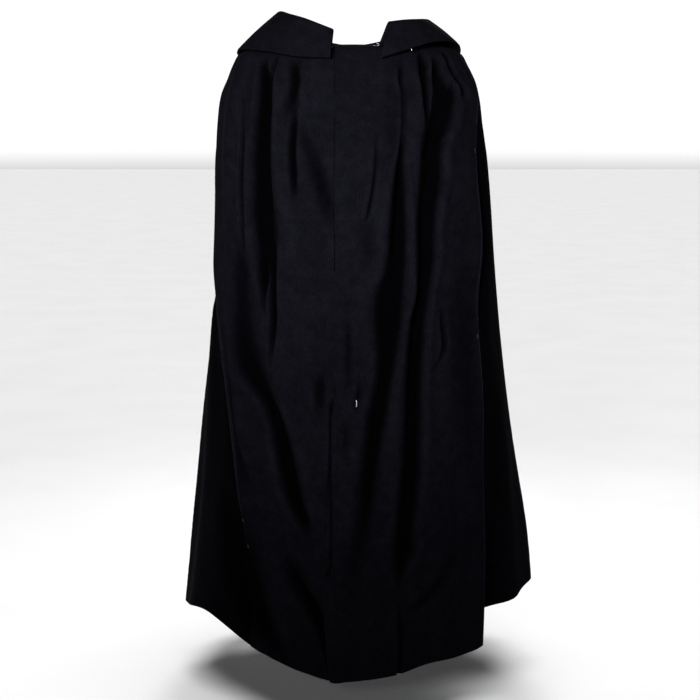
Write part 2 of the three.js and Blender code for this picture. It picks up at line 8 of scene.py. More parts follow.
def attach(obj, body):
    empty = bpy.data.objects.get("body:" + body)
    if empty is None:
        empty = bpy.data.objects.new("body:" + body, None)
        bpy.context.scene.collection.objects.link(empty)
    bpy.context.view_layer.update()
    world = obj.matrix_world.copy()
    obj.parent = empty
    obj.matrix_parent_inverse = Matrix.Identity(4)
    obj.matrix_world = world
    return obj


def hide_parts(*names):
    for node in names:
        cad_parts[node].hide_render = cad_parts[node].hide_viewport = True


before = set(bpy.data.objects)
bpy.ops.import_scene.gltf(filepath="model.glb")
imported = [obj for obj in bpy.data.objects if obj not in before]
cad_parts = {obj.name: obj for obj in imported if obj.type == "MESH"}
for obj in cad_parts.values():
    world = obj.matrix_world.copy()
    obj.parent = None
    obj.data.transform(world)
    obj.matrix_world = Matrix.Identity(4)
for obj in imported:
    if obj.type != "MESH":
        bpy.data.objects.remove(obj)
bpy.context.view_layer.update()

MM = 0.001
LENGTH_DOWN = 1230.0

# Cloth, and the gaps left between one layer and the next
CLOTH = 2.4
COLLAR_CLOTH = 4.0
GAP = 0.4
FOOT_GAP = 0.6

# Front overlap: the viewer's right front lies over the left one, which runs on under it to UNDERLAP_EDGE.
# The overlap's own edge is in the table VENT, and springs forward from the vent's top down to the hem.
UNDERLAP_EDGE = 50
OVERLAP_FULL = 58
OVERLAP_FADE = 40
FRONT_VENT_TOP = 0.6
FRONT_VENT_FLARE = 9
FRONT_VENT_SPREAD = 70
FRONT_VENT_STEP = 3.5
FRONT_VENT_STEP_FROM = 0.56
FRONT_VENT_STEP_BY = 0.6
VENT_GAP_BEYOND = 3.0

# Side seams: each front's edge laps over the back's edge, and stands away from it along the arm slit
LAP = 12
LAP_MARGIN = 3
LAP_FADE = 26
LAP_LIFT_FROM = 0.08
LAP_LIFT_BY = 0.105
LAP_FULL_BY = 0.17
SLIT_TOP = 0.19
SLIT_END = 0.49
SLIT_FULLNESS = 0.7
SLIT_LIFT = {"left": 5, "right": 8}
SLIT_SINK = 18
SLIT_SPREAD = 46

# Hem vent in the right side seam: the back's corner falls inward behind the front's, and hangs higher
HEM_VENT_TOP = 0.72
HEM_VENT_SINK = 66
HEM_VENT_RISE = 36
HEM_VENT_SPREAD = 150

# A gather of the back starts below the neckline, and is shallower and narrower near it than lower down
GATHER_START_BY = 0.3
GATHER_RUN_OUT = 0.4
GATHER_DEPTH = {"at_neck": 0.35, "full_by": 0.6}
GATHER_WIDTH = {"at_neck": 0.4, "full_by": 0.5}

# A trough's walls are steeper than a smooth wave's, and a low ridge stands at each lip
STEEPNESS = 2.4
RIDGE_HEIGHT = 0.16
RIDGE_PLACE = 2.0
RIDGE_WIDTH = 0.8

# Slow unevenness of hanging wool, as waves round the body and down it
WAVE_SEED = 7
WAVE_COUNT = 26
WAVES_ROUND = (6, 26)
WAVES_DOWN = (-4.0, 4.0)
WAVE_HEIGHT = 0.55
WAVES_FULL_BY = 0.12

# The collar runs from its front end on the left round the back to the right. Its foot stands on the panels
# from NECKLINE towards BELOW_NECKLINE, and its cloth turns over in a roll and falls in a shallow bulge.
COLLAR_START = 20.5
COLLAR_END = 333.5
ROLL_RADIUS = 8
FALL_BULGE = 3
NECKLINE = 0.0
BELOW_NECKLINE = 0.012

# How deep in a fold each point lies, from 1 in a deep one to HOLLOW_LEAST on a ridge and lower on a front's
# edge:
# painted shade in the folds and on the back beside the side seams, painted highlights on ridges and the
# fronts' edges.
HOLLOW_FULL = 16.0
HOLLOW_LEAST = -0.3
# Painted highlight along the fronts' edges at the side seams, standing in for their lit edge
EDGE_HIGHLIGHT = -1.5
EDGE_HIGHLIGHT_WIDTH = 2.5
EDGE_HIGHLIGHT_FADE = 3.0
EDGE_HIGHLIGHT_FROM = 0.1
EDGE_HIGHLIGHT_TO = {"left": 0.8, "right": 0.92}
EDGE_HIGHLIGHT_END = 0.05
BACK_SHADE = 0.85
BACK_SHADE_REACH = 210.0
BACK_SHADE_FROM = 0.08

# Stitching: each stitch is a short thread that comes out of the cloth, arches over it and goes in again
STITCH_LENGTH = 3.4
STITCH_PITCH = 4.6
STITCH_THICK = 0.7
STITCH_TAPER = (0.55, 1.0, 0.55)
STITCH_ARCH = (-0.25, 0.25, -0.25)
STITCH_SIDES = 6
SEAM_IN = 6.0
SEAM_DOWN = (0.012, 0.98)
HEM_IN = 22.0
COLLAR_SEAM_STEPS_IN = {"edge": 4, "ends": 2}
SEAM_POINTS = 450

# Bar tacks at ends of the arm slits and low on the left seam: stitches side by side across a front's edge
TACK_STITCHES = 9
TACK_PITCH = 0.8
TACK_ACROSS = (0.7, 3.5, 6.3)
TACKS = [("left", 0.79), ("left", 0.835), ("left", SLIT_TOP), ("right", SLIT_TOP), ("right", SLIT_END)]

# Metal fasteners. A hook's shape has columns along, as a share of its length, aside, and above the cloth.
WIRE = 1.6
WIRE_SIDES = 16
WIRE_STEPS = 60
WIRE_END = 0.55
HOOK_LENGTH = 11
HOOK_SHAPE = [
    (-1 / 2, -2.4, 0), (-1 / 4, -1.6, 0), (1 / 4, 0, 0), (1 / 2, 0, 1.5), (1 / 3, 0, 3.2), (0, 0, 3.4),
]
BAR_HEIGHT = 13
BAR_WIRE = 2.4
BAR_STAND = 3.2
BAR_CROWN = 0.6
BAR_SHOULDER = 0.8
NECK_HOOK = {"x": 45, "at": 0.008, "along": (1, 0, 0)}
FRONT_BAR = {"x": 3, "at": 0.575, "along": (0, 0, 1)}
COLLAR_HOOK = {"turn": 315.5, "inside": 2.5}
COLLAR_TURN_STEP = 2

# Fineness of the meshes, whose columns come closer together at the folds, and the rounding of their edges
PANEL_ROWS = 250
FRONT_COLUMNS = 176
BACK_ROWS = 230
BACK_COLUMNS = 190
COLLAR_COLUMNS = 300
STAND_STEPS = 12
ROLL_STEPS = 14
FALL_STEPS = 30
EDGE_STEPS = (0.0, 0.25, 0.7, 1.5, 3.0)
EDGE_ROUND = 1.3
COLLAR_EDGE_WIDER = 2
THIN_EDGE = 0.2
SPREAD_STEPS = 500
CROWDING = 1.8
CROWDING_REACH = 1.9
CROWDED_DEPTH = 14

# Steps over which slopes are measured, and the search for the angle at which the front passes a given X
ANGLE_STEP = 0.25
ROW_STEP = 0.002
FRONT_REACH = 80.0
HALVINGS = 30

# Milled wool: near black with a blue cast, a short nap and a faint mottle. Each tone is a place and a colour.
WOOL_NOISE = {
    "mottle": {"scale": 9, "detail": 4, "stretch": (1, 1, 0.45)},
    "patches": {"scale": 48, "detail": 4},
    "fibre": {"scale": 420, "detail": 3, "stretch": (1, 1, 0.35)},
    "nap": {"scale": 130, "detail": 5},
}
WOOL_TONES = [(0.3, (0.0044, 0.0043, 0.0068, 1)), (0.75, (0.0062, 0.006, 0.0094, 1))]
WOOL_PATCHES = [(0.3, (0.78, 0.78, 0.8, 1)), (0.72, (1.25, 1.25, 1.22, 1))]
WOOL_FLECKS = [(0.35, (0.78, 0.78, 0.78, 1)), (0.75, (1.28, 1.28, 1.28, 1))]
# Painted light and shade: factors on the wool's colour, from painted highlights on edges and ridges to
# painted shade in the folds
WOOL_PAINTED_SHADING = [
    (EDGE_HIGHLIGHT, (2.3, 2.3, 2.3, 1)),
    (-0.35, (1.15, 1.15, 1.13, 1)),
    (-0.05, (1.0, 1.0, 1.0, 1)),
    (0.45, (0.42, 0.42, 0.44, 1)),
    (0.75, (0.14, 0.14, 0.16, 1)),
    (1, (0.1, 0.1, 0.12, 1)),
]
WOOL_SURFACE = {
    "Roughness": 1,
    "Specular IOR Level": 0.02,
    "Sheen Weight": 0.004,
    "Sheen Roughness": 0.45,
    "Sheen Tint": (0.62, 0.66, 0.8, 1),
}
NAP_SHARE = 0.45
NAP_STRENGTH = 0.55
NAP_HEIGHT = 0.0012

# Thread, steel and floor
THREAD_NOISE = {"scale": 900, "detail": 2}
SEAM_THREAD = [(0.3, (0.0022, 0.0022, 0.0036, 1)), (0.7, (0.006, 0.006, 0.009, 1))]
# The tack thread is paler than the seam thread, which paints the glints at the bar tacks
TACK_THREAD = [(0.3, (0.02, 0.02, 0.024, 1)), (0.7, (0.06, 0.06, 0.07, 1))]
THREAD_SURFACE = {"Roughness": 0.9, "Specular IOR Level": 0.05}
STEEL_NOISE = {"scale": 600, "detail": 4}
STEEL_TONES = [(0.3, (0.32, 0.33, 0.35, 1)), (0.7, (0.62, 0.63, 0.66, 1))]
STEEL_ROUGHNESS = [(0.3, (0.22, 0.22, 0.22, 1)), (0.8, (0.45, 0.45, 0.45, 1))]
FLOOR_NOISE = {"scale": 3, "detail": 2}
FLOOR_TONES = [(0.3, (0.8, 0.8, 0.8, 1)), (0.7, (0.83, 0.83, 0.83, 1))]
FLOOR_ROUGHNESS = 0.8
FLOOR_LEVEL = -1.285
FLOOR_SIZE = 60

# Camera
CAMERA_PLACE = (-0.005, -2.8, -0.123)
CAMERA_PITCH = math.radians(9.5)
PHOTO_WIDTH = 700
FOCAL_PIXELS = 1378
SENSOR = 36

# Light. The studio's levels are its brightness by the sine of the height above the horizon.
LIGHTS = [
    {
        "name": "key", "place": (-0.55, -2.6, 0.2), "aim": (0, 0, -0.19),
        "size": 0.5, "spread": 43, "power": 5.2,
    },
    {
        "name": "back", "place": (0.2, 3.0, 1.4), "aim": (0, 0, -0.3),
        "size": 1.4, "spread": 80, "power": 14,
    },
]
OVERHEAD_STRENGTH = 3.1
OVERHEAD_SOFTNESS = 50
STUDIO_LEVELS = [(-0.06, 0.1), (-0.02, 1.06), (0.1, 1.06), (0.15, 0.1), (0.6, 0.04)]


class Curves:
    """Smooth curves through the rows of a table: one function of the first column for each other column."""

    def __init__(self, names, rows):
        table = np.array(rows, float)
        self.places = table[:, 0]
        self.columns = {name: table[:, i + 1] for i, name in enumerate(names[1:])}
        self.slopes = {name: slopes_of(self.places, column) for name, column in self.columns.items()}

    def __call__(self, name, wanted):
        x = np.clip(wanted, self.places[0], self.places[-1])
        i = np.clip(np.searchsorted(self.places, x, side="right") - 1, 0, len(self.places) - 2)
        step = self.places[i + 1] - self.places[i]
        t = (x - self.places[i]) / step
        column = self.columns[name]
        start = self.slopes[name][i] * step
        end = self.slopes[name][i + 1] * step
        rise = column[i + 1] - column[i]
        bend = start + end - 2 * rise
        return column[i] + t * (start + t * (rise - start - bend + t * bend))


def slopes_of(xs, ys):
    between = np.diff(ys) / np.diff(xs)
    share = (xs[1:-1] - xs[:-2]) / (xs[2:] - xs[:-2])
    inner = between[:-1] * (1 - share) + between[1:] * share
    return np.concatenate([between[:1], inner, between[-1:]])


# The smooth form without folds, as rings from the neckline to the hem. Left, right, front and back are
# half sizes about the ring's middle, which lies `middle` behind the origin. The heights are those of the
# ring's front, sides and back, and taper narrows the front between its middle and its sides.
FORM = Curves(
    ["at", "left", "right", "front", "back", "middle", "z_front", "z_side", "z_back", "taper"],
    [
        [0.000, 109, 109, 92, 84, 0, 17, 10, 16, 0.00],
        [0.012, 146, 144, 106, 98, 0, 10, 19, 11, 0.00],
        [0.030, 190, 185, 122, 113, 0, -13, 17, -7, -0.03],
        [0.048, 223, 215, 133, 123, 0, -36, 5, -30, -0.05],
        [0.065, 236, 228, 141, 131, 0, -57, -17, -52, -0.06],
        [0.085, 247, 243, 148, 138, 0, -80, -47, -76, -0.06],
        [0.110, 257, 252, 154, 145, 0, -109, -81, -107, -0.06],
        [0.150, 264, 259, 161, 153, 0, -155, -129, -154, -0.05],
        [0.200, 269, 269, 167, 160, 0, -213, -192, -212, -0.04],
        [0.280, 271, 279, 174, 171, 0, -307, -286, -305, -0.02],
        [0.380, 274, 289, 182, 186, 2, -425, -409, -424, 0.01],
        [0.480, 287, 301, 191, 202, 6, -545, -530, -545, 0.05],
        [0.600, 302, 320, 205, 221, 13, -692, -683, -692, 0.10],
        [0.740, 318, 343, 225, 243, 23, -866, -864, -867, 0.16],
        [0.870, 337, 363, 245, 264, 34, -1031, -1016, -1032, 0.21],
        [1.000, 356, 379, 265, 285, 45, -1199, -1155, -1200, 0.25],
    ],
)

# Height of the hem round the cloak, which takes over from the rings' heights below HEM_FROM
HEM_FROM = 0.55
HEM = Curves(
    ["angle", "z"],
    [
        [-180, -1200], [-130, -1183], [-100, -1157], [-84, -1141], [-60, -1120], [-49, -1143], [-41, -1158],
        [-33, -1174], [-22, -1190], [-10, -1199], [0, -1199], [15, -1194], [30, -1181], [50, -1169],
        [62, -1122], [75, -1091], [90, -1085], [110, -1118], [140, -1177], [180, -1200],
    ],
)

# Where the side seams run
SEAMS = Curves(
    ["at", "right", "left"],
    [
        [0.000, 78.0, -88.0],
        [0.060, 77.0, -90.0],
        [0.130, 70.5, -90.0],
        [0.215, 62.5, -90.0],
        [0.340, 61.0, -86.0],
        [0.440, 57.5, -75.0],
        [0.510, 58.0, -66.5],
        [0.600, 58.0, -58.0],
        [0.730, 54.4, -50.5],
        [0.860, 51.8, -45.0],
        [1.000, 50.0, -41.0],
    ],
)

# Folds of the fronts. Each is a trough along a path of rows: way down, angle, depth and half width.
FOLD_COLUMNS = ["at", "angle", "depth", "width"]
FRONT_FOLDS = [
    # The deepest gather of the left front, with its second root, its tail and the pleat beside it
    [
        [0.04, -52, 0, 8], [0.06, -45, 18, 10], [0.1, -40, 30, 11.5], [0.15, -39.5, 33, 13],
        [0.2, -39.5, 34, 15], [0.25, -39.5, 34, 18], [0.29, -39, 32, 22], [0.34, -38.5, 25, 20],
        [0.385, -38.5, 14, 16], [0.42, -38, 0, 12],
    ],
    [[0.03, -47, 0, 4], [0.04, -43, 8, 4], [0.065, -39.5, 8, 5], [0.085, -38.5, 0, 6]],
    [
        [0.32, -34.5, 0, 5], [0.36, -34.5, 13, 5.5], [0.41, -34.5, 17, 6], [0.46, -34, 15, 6],
        [0.49, -34.5, 11, 5.5], [0.53, -35.5, 0, 4],
    ],
    [[0.34, -42, 0, 7], [0.39, -40.5, 13, 8], [0.42, -39.5, 10, 6], [0.45, -38, 0, 5.5]],
    # Narrow fold between it and the left arm
    [
        [0.1, -56, 0, 7], [0.14, -53.5, 7, 7], [0.18, -52, 14, 7], [0.24, -52.5, 17, 8], [0.3, -52, 15, 7],
        [0.33, -52, 8, 7], [0.36, -51.5, 0, 8],
    ],
    # From the left arm down and across towards the centre
    [
        [0.33, -54.5, 0, 17], [0.37, -54, 8, 22], [0.43, -53, 9, 25], [0.5, -50, 12, 33],
        [0.545, -44, 15, 31], [0.575, -37.5, 19, 18], [0.6, -33.5, 22, 14], [0.635, -30.5, 25, 15.5],
        [0.7, -26.5, 27, 16], [0.735, -24, 25, 15], [0.765, -20.5, 13, 13], [0.79, -19, 0, 9],
    ],
    # Two short gathers that meet between the deepest gather and the overlap
    [
        [0.025, -36, 0, 9], [0.045, -29.5, 12, 10], [0.06, -26.5, 14, 9], [0.08, -26, 13, 9],
        [0.105, -26.5, 9, 12], [0.145, -30, 0, 8],
    ],
    [
        [0.1, -24, 0, 5.5], [0.13, -24, 11, 6], [0.18, -24.5, 17, 6.5], [0.21, -24, 17, 6.5],
        [0.235, -24, 11, 6], [0.255, -24, 0, 5],
    ],
    # Soft pull towards the overlap
    [
        [0.12, -20, 0, 5], [0.15, -19.5, 5, 7], [0.175, -17, 7, 12], [0.2, -14.5, 8, 15.5],
        [0.245, -11.5, 9, 15], [0.28, -9.5, 6, 14], [0.305, -8, 0, 10],
    ],
    # Hollows at the foot of the left front: along the overlap's edge, and beside the seam
    [
        [0.815, -27, 0, 16], [0.84, -25, 8, 19], [0.86, -23, 13, 20], [0.9, -15.5, 17, 17.5],
        [0.93, -12, 18, 13], [0.965, -9.5, 13, 7], [1, -7.5, 9, 5],
    ],
    [
        [0.725, -55, 0, 27], [0.78, -52, 7, 33], [0.83, -47.5, 11, 38], [0.88, -44.5, 14, 41],
        [0.935, -40.5, 15, 43], [0.97, -35, 11, 39], [1, -28.5, 3, 21],
    ],
    # First gather of the right front, which swings to the overlap and runs out there
    [
        [0.02, 33, 0, 4.5], [0.045, 25, 9, 4], [0.09, 22.5, 7, 4], [0.135, 21.5, 7, 4], [0.16, 21, 9, 4.5],
        [0.18, 20, 14, 5], [0.2, 19.3, 20, 7], [0.24, 18.6, 28, 11], [0.29, 18, 33, 14], [0.36, 17, 33, 17],
        [0.415, 14.5, 31, 24], [0.45, 14, 31, 23.5], [0.5, 13.5, 30, 16], [0.55, 12, 29, 13.5],
        [0.6, 9.5, 27, 16], [0.66, 7.5, 23, 15], [0.7, 6, 18, 17], [0.76, 4.5, 11, 17.5], [0.82, 1.5, 7, 20],
        [0.91, -1, 0, 14],
    ],
    # Second gather, nearly the whole length, with its other root and the notch below its end
    [
        [0.035, 53, 0, 6], [0.05, 46.5, 12, 8], [0.065, 44, 16, 10], [0.085, 44, 19, 18], [0.1, 44, 21, 25],
        [0.115, 42.5, 23, 27], [0.135, 40, 28, 26], [0.17, 35, 31, 19.5], [0.225, 33, 32, 19],
        [0.29, 30.5, 31, 15.5], [0.36, 30, 31, 14], [0.41, 28.5, 30, 11], [0.45, 26.5, 30, 13.5],
        [0.54, 24.5, 29, 13.5], [0.64, 23.5, 27, 15], [0.7, 22.5, 26, 16.5], [0.77, 20.5, 25, 15.5],
        [0.815, 19.5, 21, 17.5], [0.845, 18.5, 10, 10], [0.87, 18, 0, 6],
    ],
    [
        [0.02, 52, 0, 6], [0.035, 42, 14, 6], [0.05, 37.5, 19, 8], [0.07, 35, 21, 7], [0.1, 32.5, 20, 6],
        [0.125, 32.5, 9, 5], [0.145, 33, 0, 5],
    ],
    [[0.88, 17.5, 0, 5], [0.93, 18.5, 9, 6], [0.97, 18.5, 9, 5], [1, 18, 7, 4]],
    # Creases over the right shoulder
    [
        [0.03, 68, 0, 5], [0.045, 58.5, 11, 5.5], [0.065, 56.5, 13, 6], [0.085, 58.5, 15, 7],
        [0.097, 60, 12, 9], [0.107, 61, 0, 8],
    ],
    [[0.074, 54, 0, 5], [0.09, 51, 9, 6.5], [0.103, 49, 8, 7], [0.118, 47.5, 0, 5]],
    # Below the right elbow: a broad hollow, and a crease in front of it
    [[0.36, 52, 0, 31], [0.4, 50, 4, 38], [0.46, 48.5, 5, 38], [0.6, 48, 3.5, 28], [0.71, 47.5, 0, 24]],
    [[0.43, 37.5, 0, 5.5], [0.455, 37.5, 6, 5.5], [0.51, 37, 6, 5.5], [0.522, 35, 3, 5.5], [0.535, 32, 0, 6]],
    # Hollow that rounds off the right front above the hem
    [[0.805, 41, 0, 12], [0.84, 38.5, 5, 14], [0.88, 32, 7, 16], [0.897, 26.5, 7, 18], [0.916, 18, 0, 13]],
    # Groove beside the left seam
    [
        [0.44, -71.5, 0, 7], [0.5, -64, 5, 9], [0.57, -57.5, 6, 9], [0.64, -53, 6, 8], [0.7, -48.5, 7, 14],
        [0.75, -45, 0, 20],
    ],
]

# Small creases of the fronts, in the same columns
SMALL_CREASES = [
    # On the left front
    [[0.43, -12.5, 0, 4], [0.45, -12, 3.5, 5], [0.477, -10.5, 0, 4]],
    [[0.525, -13, 0, 6], [0.55, -13.5, 9, 9.5], [0.575, -13.5, 8, 8.5], [0.605, -14, 0, 7]],
    # On the right front, from the overlap outwards
    [[0.43, -2, 0, 6], [0.475, -1.5, 6, 7.5], [0.52, -1.5, 6, 7.5], [0.56, -1.5, 0, 6]],
    [[0.595, -2.5, 0, 9], [0.63, -2.5, 5, 9], [0.67, -2.5, 0, 6]],
    [[0.54, 2.5, 0, 4], [0.56, 2.5, 6, 6.5], [0.575, 2, 6, 6.5], [0.6, 1.5, 0, 6]],
    [[0.28, 4, 0, 20], [0.3, 5, 4, 20], [0.335, 6.5, 5, 14], [0.395, 7, 0, 12]],
    [
        [0.14, 9.5, 0, 4], [0.165, 9.5, 5, 4.5], [0.2, 9, 8, 4], [0.25, 7.3, 13, 4], [0.27, 6.3, 12, 4],
        [0.29, 5, 0, 4],
    ],
    [[0.185, 38, 0, 3.5], [0.205, 39, 3, 4], [0.227, 41, 0, 3.5]],
]

# The overlap's edge and the narrow gap that opens beside it on its way down
VENT = Curves(
    ["at", "edge", "depth", "width"],
    [
        [0, -37, 0, 4], [0.54, -37, 0, 4], [0.56, -37, 0, 4], [0.59, -37, 11, 3.5], [0.66, -38, 13, 3.5],
        [0.71, -42, 8, 3], [0.85, -45, 8, 3], [0.9, -43, 13, 4], [0.96, -39, 16, 5], [1, -35, 12, 5],
    ],
)

# Gathers of the back, from the neckline down: angles at the neck and at the hem, depth, half width and the
# way down at which each runs out
BACK_GATHERS = [
    {"neck": 100, "hem": 92, "depth": 16, "width": 22, "end": 1.3},
    {"neck": 118, "hem": 113, "depth": 30, "width": 25, "end": 1.4},
    {"neck": 134, "hem": 131, "depth": 20, "width": 17, "end": 0.76},
    {"neck": 151, "hem": 148, "depth": 35, "width": 26, "end": 1.5},
    {"neck": 167, "hem": 166, "depth": 20, "width": 15, "end": 0.6},
    {"neck": 183, "hem": 180, "depth": 33, "width": 25, "end": 1.4},
    {"neck": 200, "hem": 203, "depth": 24, "width": 18, "end": 0.84},
    {"neck": 216, "hem": 219, "depth": 37, "width": 26, "end": 1.5},
    {"neck": 232, "hem": 236, "depth": 21, "width": 17, "end": 0.7},
    {"neck": 250, "hem": 257, "depth": 26, "width": 24, "end": 1.4},
]

# The collar's roll and lower edge, by the turn from the centre front over the left side and the back
COLLAR = Curves(
    ["turn", "roll_x", "roll_y", "roll_z", "edge_x", "edge_y", "edge_z"],
    [
        [COLLAR_START, -36, -106, 45, -42, -136, -8],
        [40, -89, -88, 66, -104, -122, -5],
        [62, -121, -58, 77, -165, -95, 6],
        [90, -140, -12, 85, -226, -12, 12],
        [115, -137, 34, 79, -222, 52, -7],
        [140, -112, 78, 54, -169, 106, -46],
        [160, -60, 103, 34, -90, 141, -73],
        [180, 0, 112, 25, 0, 151, -82],
        [200, 60, 103, 33, 90, 141, -72],
        [220, 111, 78, 49, 163, 106, -42],
        [245, 139, 32, 64, 214, 48, 2],
        [270, 146, -14, 69, 207, -13, 24],
        [298, 122, -60, 67, 156, -89, 24],
        [318, 95, -84, 64, 106, -119, 9],
        [COLLAR_END, 68, -96, 60, 51, -135, -9],
    ],
)


def ease(t):
    clamped = np.clip(t, 0, 1)
    return clamped * clamped * (3 - 2 * clamped)


def wrap(angle):
    """Angle between -180 and 180 degrees."""
    return (angle + 180) % 360 - 180


def lerp(a, b, t):
    return a + (b - a) * t


def unit(vectors):
    return vectors / np.linalg.norm(vectors, axis=-1, keepdims=True)


def form_point(angle, at):
    """Points of the smooth form."""
    angle, at = np.broadcast_arrays(np.asarray(angle, float), np.asarray(at, float))
    turn = np.radians(angle)
    side = np.sin(turn)
    ahead = np.cos(turn)
    forward = ahead > 0
    half = np.where(side < 0, FORM("left", at), FORM("right", at))
    narrow = np.where(forward, FORM("taper", at) * ahead**2, 0)
    middle = FORM("middle", at)
    depth = np.where(forward, FORM("front", at) + middle, FORM("back", at) - middle)
    hem_change = (HEM("z", wrap(angle)) - level_of(ahead, 1.0)) * ease((at - HEM_FROM) / (1 - HEM_FROM))
    z = level_of(ahead, at) + hem_change
    return np.stack([half * side * (1 - narrow), middle - depth * ahead, z], axis=-1)


def level_of(ahead, at):
    """Height of a ring, from its sides to its front or back end."""
    side_level = FORM("z_side", at)
    end_level = np.where(ahead > 0, FORM("z_front", at), FORM("z_back", at))
    return side_level + (end_level - side_level) * ahead**2


def normal_of(surface, angle, at):
    """Outward normals of a surface given as a function of angle and way down."""
    low = np.maximum(at - ROW_STEP, 0)
    high = np.minimum(at + ROW_STEP, 1)
    around = surface(angle + ANGLE_STEP, at) - surface(angle - ANGLE_STEP, at)
    down = surface(angle, high) - surface(angle, low)
    return unit(np.cross(down, around))


def mm_per_degree(angle, at):
    """Length of the form per degree, measured round the body."""
    apart = form_point(angle + ANGLE_STEP, at) - form_point(angle - ANGLE_STEP, at)
    return np.linalg.norm(apart, axis=-1) / (2 * ANGLE_STEP)


def angle_at_x(x, at):
    """Angle at which the front of the form passes a given X."""
    low = np.full(np.shape(at), -FRONT_REACH)
    high = np.full(np.shape(at), FRONT_REACH)
    for _ in range(HALVINGS):
        middle = (low + high) / 2
        below = form_point(middle, at)[..., 0] < x
        low = np.where(below, middle, low)
        high = np.where(below, high, middle)
    return (low + high) / 2


def path_trough(rows):
    path = Curves(FOLD_COLUMNS, rows)

    def trough(at):
        reached = (at >= path.places[0]) & (at <= path.places[-1])
        depth = np.where(reached, np.maximum(path("depth", at), 0), 0)
        return path("angle", at), depth, path("width", at)

    return trough


def grown_share(growth, at):
    return growth["at_neck"] + (1 - growth["at_neck"]) * ease(at / growth["full_by"])


def gather_trough(gather):
    def trough(at):
        reached = ease(at / GATHER_START_BY) * ease((gather["end"] - at) / GATHER_RUN_OUT)
        depth = gather["depth"] * reached * grown_share(GATHER_DEPTH, at)
        return lerp(gather["neck"], gather["hem"], at), depth, gather["width"] * grown_share(GATHER_WIDTH, at)

    return trough


def vent_trough(at):
    return angle_at_x(VENT("edge", at) - VENT_GAP_BEYOND, at), VENT("depth", at), VENT("width", at)


TROUGHS = [path_trough(rows) for rows in FRONT_FOLDS + SMALL_CREASES]
TROUGHS += [gather_trough(gather) for gather in BACK_GATHERS]
TROUGHS.append(vent_trough)


def random_waves():
    draw = np.random.default_rng(WAVE_SEED)
    return [
        {
            "round": int(draw.integers(*WAVES_ROUND)),
            "down": draw.uniform(*WAVES_DOWN) * math.pi,
            "phase": draw.uniform(0, 2 * math.pi),
        }
        for _ in range(WAVE_COUNT)
    ]


WAVES = random_waves()


def waves_at(angle, at):
    total = 0.0
    for wave in WAVES:
        total = total + np.sin(np.radians(angle) * wave["round"] + at * wave["down"] + wave["phase"])
    return WAVE_HEIGHT * total * ease(at / WAVES_FULL_BY)


def fold_depth(angle, at):
    """How far the folds take the cloth inward from the form."""
    return waves_at(angle, at) + trough_depth(angle, at)


def trough_depth(angle, at):
    """Depth of the troughs alone, with the ridges at their lips."""
    depth = 0.0
    for trough in TROUGHS:
        middle, deep, width = trough(at)
        reach = np.abs(wrap(angle - middle) * mm_per_degree(middle, at)) / width
        lip = (reach - RIDGE_PLACE) / RIDGE_WIDTH
        depth = depth + deep * (np.exp(-(reach**STEEPNESS)) - RIDGE_HEIGHT * np.exp(-lip * lip))
    return depth


def cloth_point(angle, at):
    return form_point(angle, at) - normal_of(form_point, angle, at) * fold_depth(angle, at)[..., None]


def seam_places(side, at):
    """A side seam's places in each row: the front's edge, the back's edge, and mm per degree there."""
    sign = 1 if side == "right" else -1
    edge = SEAMS(side, at)
    scale = mm_per_degree(edge, at)
    grown = ease((at - LAP_LIFT_BY) / (LAP_FULL_BY - LAP_LIFT_BY))
    lap = lerp(-GAP, LAP, grown)
    return edge, edge - sign * lap / scale, scale


def in_from_seam(side, angle, at):
    edge, _, scale = seam_places(side, at)
    return np.abs(wrap(angle - edge)) * scale


def slit_opening(at):
    """How wide open the arm slit is, 0 to 1."""
    t = np.clip((at - SLIT_TOP) / (SLIT_END - SLIT_TOP), 0, 1)
    return np.maximum(np.sin(math.pi * t), 0) ** SLIT_FULLNESS


def side_lift(side, angle, at):
    """How far a front lies above the cloth beneath its side seam."""
    inward = in_from_seam(side, angle, at)
    layer = (CLOTH + GAP) * ease((at - LAP_LIFT_FROM) / (LAP_LIFT_BY - LAP_LIFT_FROM))
    lap = layer * (1 - ease((inward - LAP - LAP_MARGIN) / LAP_FADE))
    return lap + SLIT_LIFT[side] * slit_opening(at) * (1 - ease(inward / SLIT_SPREAD))


def overlap_lift(angle, at):
    x = form_point(angle, at)[..., 0]
    layer = (CLOTH + GAP) * (1 - ease((x - OVERLAP_FULL) / OVERLAP_FADE))
    flare = FRONT_VENT_FLARE * ease((at - FRONT_VENT_TOP) / (1 - FRONT_VENT_TOP))
    step = FRONT_VENT_STEP * ease((at - FRONT_VENT_STEP_FROM) / (FRONT_VENT_STEP_BY - FRONT_VENT_STEP_FROM))
    return layer + (flare + step) * (1 - ease((x - VENT("edge", at)) / FRONT_VENT_SPREAD))


def back_sink(angle, at):
    """How far the back lies below the fronts near its two edges."""
    right = in_from_seam("right", angle, at)
    left = in_from_seam("left", angle, at)
    slit = SLIT_SINK * slit_opening(at)
    vent = HEM_VENT_SINK * ease((at - HEM_VENT_TOP) / (1 - HEM_VENT_TOP))
    return (
        slit * (1 - ease(right / SLIT_SPREAD))
        + slit * (1 - ease(left / SLIT_SPREAD))
        + vent * (1 - ease(right / HEM_VENT_SPREAD))
    )


def back_rise(angle, at):
    right = in_from_seam("right", angle, at)
    down = ease((at - HEM_VENT_TOP) / (1 - HEM_VENT_TOP))
    return HEM_VENT_RISE * down * (1 - ease(right / HEM_VENT_SPREAD))


def lifted(angle, at, lift):
    return cloth_point(angle, at) + normal_of(cloth_point, angle, at) * lift[..., None]


def front_right_point(angle, at):
    return lifted(angle, at, overlap_lift(angle, at) + side_lift("right", angle, at))


def front_left_point(angle, at):
    return lifted(angle, at, side_lift("left", angle, at))


def back_point(angle, at):
    point = lifted(angle, at, -back_sink(angle, at))
    point[..., 2] += back_rise(angle, at)
    return point


